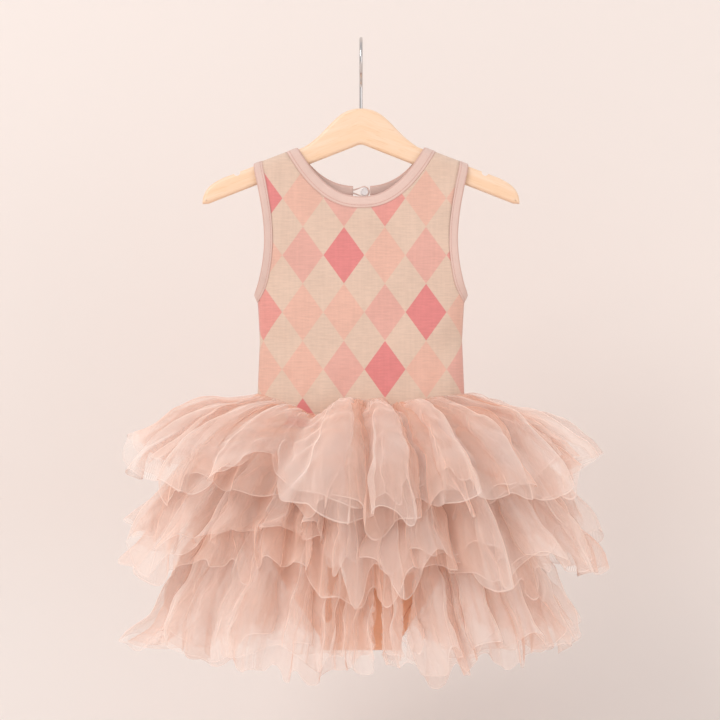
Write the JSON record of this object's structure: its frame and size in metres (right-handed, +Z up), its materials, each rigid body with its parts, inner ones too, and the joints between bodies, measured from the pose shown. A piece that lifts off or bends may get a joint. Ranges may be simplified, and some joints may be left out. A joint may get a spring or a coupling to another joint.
{
  "type": "tutu dress on a hanger",
  "caption": "Small child's sleeveless tutu dress with a diamond-print bodice, a brief and a full tiered tulle skirt, hanging on a wooden hanger.",
  "frame": {"origin": "underside of the hook's top, where the hook rests on a rail", "axes": "+Z up, +X to the wearer's left across the shoulders, -Y out of the front of the dress"},
  "size_m": [0.4996, 0.267, 0.6477],
  "materials": {
    "printed_jersey": "matt knitted jersey with printed diamonds in cream, peach, coral and rose",
    "binding_jersey": "matt pale pink ribbed binding, topstitched",
    "plain_jersey": "matt plain salmon jersey",
    "tulle": "sheer dusty pink net, slightly glossy",
    "button_pearl": "pearly gloss",
    "loop_thread": "twisted thread",
    "hanger_wood": "pale beech under satin varnish",
    "hook_metal": "bright chrome plate"
  },
  "bodies": {
    "root": {"bodice_front": "printed_jersey", "bodice_back": "printed_jersey", "neck_binding": "binding_jersey", "armhole_binding_left": "binding_jersey", "armhole_binding_right": "binding_jersey", "brief_front": "plain_jersey", "brief_back": "plain_jersey", "leg_binding_left": "plain_jersey", "leg_binding_right": "plain_jersey", "tutu_tier_top": "tulle", "tutu_tier_middle": "tulle", "tutu_tier_bottom": "tulle", "back_button": "button_pearl", "back_button_loop": "loop_thread", "hanger": "hanger_wood", "hanger_hook": "hook_metal"}
  },
  "joints": []
}
